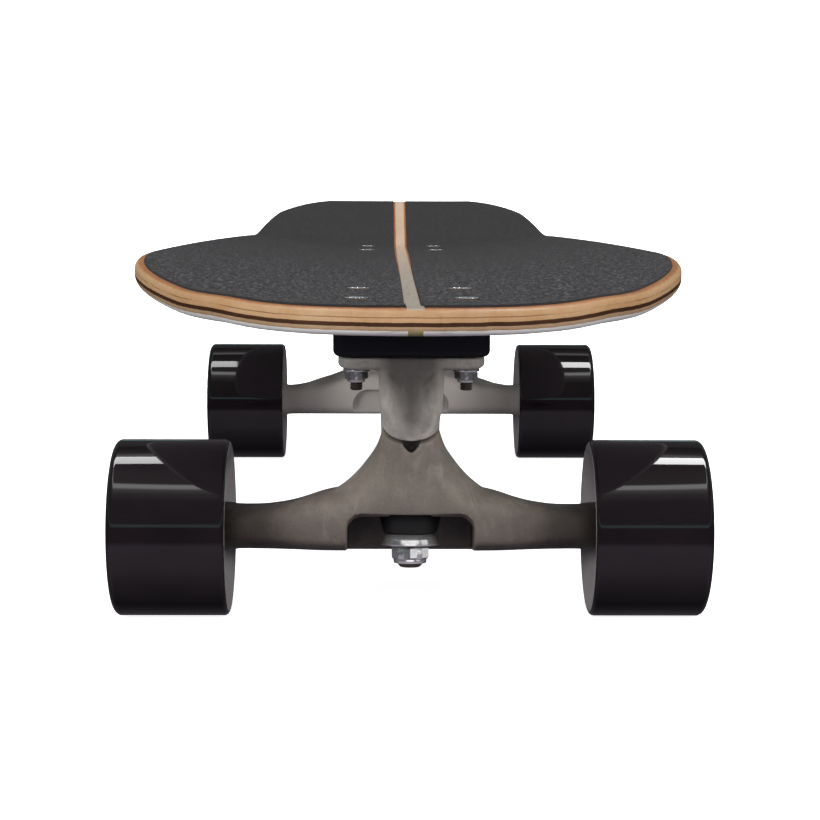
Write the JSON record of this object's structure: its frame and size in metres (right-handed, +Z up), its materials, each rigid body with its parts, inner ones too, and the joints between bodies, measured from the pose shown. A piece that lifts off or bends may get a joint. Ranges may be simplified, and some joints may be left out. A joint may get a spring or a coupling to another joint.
{
  "type": "surf skateboard",
  "caption": "Short wide skateboard with a concave wooden deck, a kicked tail, two tall steering trucks on riser pads and soft wide wheels.",
  "frame": {"origin": "on the ground, under the middle of the board's length and width", "axes": "-Y towards the nose, +Z up, +X towards the left side of the board"},
  "size_m": [0.2416, 0.762, 0.1558],
  "materials": {
    "maple": "clear lacquered maple veneers",
    "grip": "coarse black grit sheet",
    "riser": "matte black moulded rubber",
    "casting": "tumbled raw cast aluminium",
    "urethane": "glossy black urethane",
    "bushing": "satin black urethane",
    "core": "black moulded plastic",
    "steel": "bright zinc plated steel"
  },
  "bodies": {
    "board": {"deck": "maple", "grip_left": "grip", "grip_right": "grip", "front_riser_pad": "riser", "front_baseplate": "casting", "front_pivot_cup": "bushing", "front_kingpin": "steel", "front_upper_bushing": "bushing", "front_lower_bushing": "bushing", "front_cup_washer": "steel", "front_kingpin_nut": "steel", "front_deck_bolt_1": "steel", "front_deck_nut_1": "steel", "front_deck_bolt_2": "steel", "front_deck_nut_2": "steel", "front_deck_bolt_3": "steel", "front_deck_nut_3": "steel", "front_deck_bolt_4": "steel", "front_deck_nut_4": "steel", "rear_riser_pad": "riser", "rear_baseplate": "casting", "rear_pivot_cup": "bushing", "rear_kingpin": "steel", "rear_upper_bushing": "bushing", "rear_lower_bushing": "bushing", "rear_cup_washer": "steel", "rear_kingpin_nut": "steel", "rear_deck_bolt_1": "steel", "rear_deck_nut_1": "steel", "rear_deck_bolt_2": "steel", "rear_deck_nut_2": "steel", "rear_deck_bolt_3": "steel", "rear_deck_nut_3": "steel", "rear_deck_bolt_4": "steel", "rear_deck_nut_4": "steel"},
    "front_steering": {"front_hanger": "casting", "front_axle": "steel", "axle_nut_front_left": "steel", "axle_nut_front_right": "steel"},
    "front_left_wheel": {"wheel_front_left_tyre": "urethane", "wheel_front_left_core": "core", "bearing_front_left_outer": "steel", "bearing_front_left_inner": "steel"},
    "front_right_wheel": {"wheel_front_right_tyre": "urethane", "wheel_front_right_core": "core", "bearing_front_right_outer": "steel", "bearing_front_right_inner": "steel"},
    "rear_steering": {"rear_hanger": "casting", "rear_axle": "steel", "axle_nut_rear_left": "steel", "axle_nut_rear_right": "steel"},
    "rear_left_wheel": {"wheel_rear_left_tyre": "urethane", "wheel_rear_left_core": "core", "bearing_rear_left_outer": "steel", "bearing_rear_left_inner": "steel"},
    "rear_right_wheel": {"wheel_rear_right_tyre": "urethane", "wheel_rear_right_core": "core", "bearing_rear_right_outer": "steel", "bearing_rear_right_inner": "steel"}
  },
  "joints": [
    {"name": "front_steer", "type": "hinge", "parent": "board", "child": "front_steering", "pos_m": [0, -0.255, 0.048], "axis": [0, -0.4506, 0.8927], "range_deg": [-20, 20], "stiffness_Nm_per_rad": 40, "deforming": ["front_upper_bushing", "front_lower_bushing"]},
    {"name": "front_left_wheel_spin", "type": "hinge", "parent": "front_steering", "child": "front_left_wheel", "pos_m": [0.0941, -0.236, 0.035], "axis": [1, 0, 0], "continuous": true},
    {"name": "front_right_wheel_spin", "type": "hinge", "parent": "front_steering", "child": "front_right_wheel", "pos_m": [-0.0941, -0.236, 0.035], "axis": [1, 0, 0], "continuous": true},
    {"name": "rear_steer", "type": "hinge", "parent": "board", "child": "rear_steering", "pos_m": [0, 0.233, 0.048], "axis": [0, 0.4506, 0.8927], "range_deg": [-20, 20], "stiffness_Nm_per_rad": 40, "deforming": ["rear_upper_bushing", "rear_lower_bushing"]},
    {"name": "rear_left_wheel_spin", "type": "hinge", "parent": "rear_steering", "child": "rear_left_wheel", "pos_m": [0.0941, 0.214, 0.035], "axis": [1, 0, 0], "continuous": true},
    {"name": "rear_right_wheel_spin", "type": "hinge", "parent": "rear_steering", "child": "rear_right_wheel", "pos_m": [-0.0941, 0.214, 0.035], "axis": [1, 0, 0], "continuous": true}
  ]
}
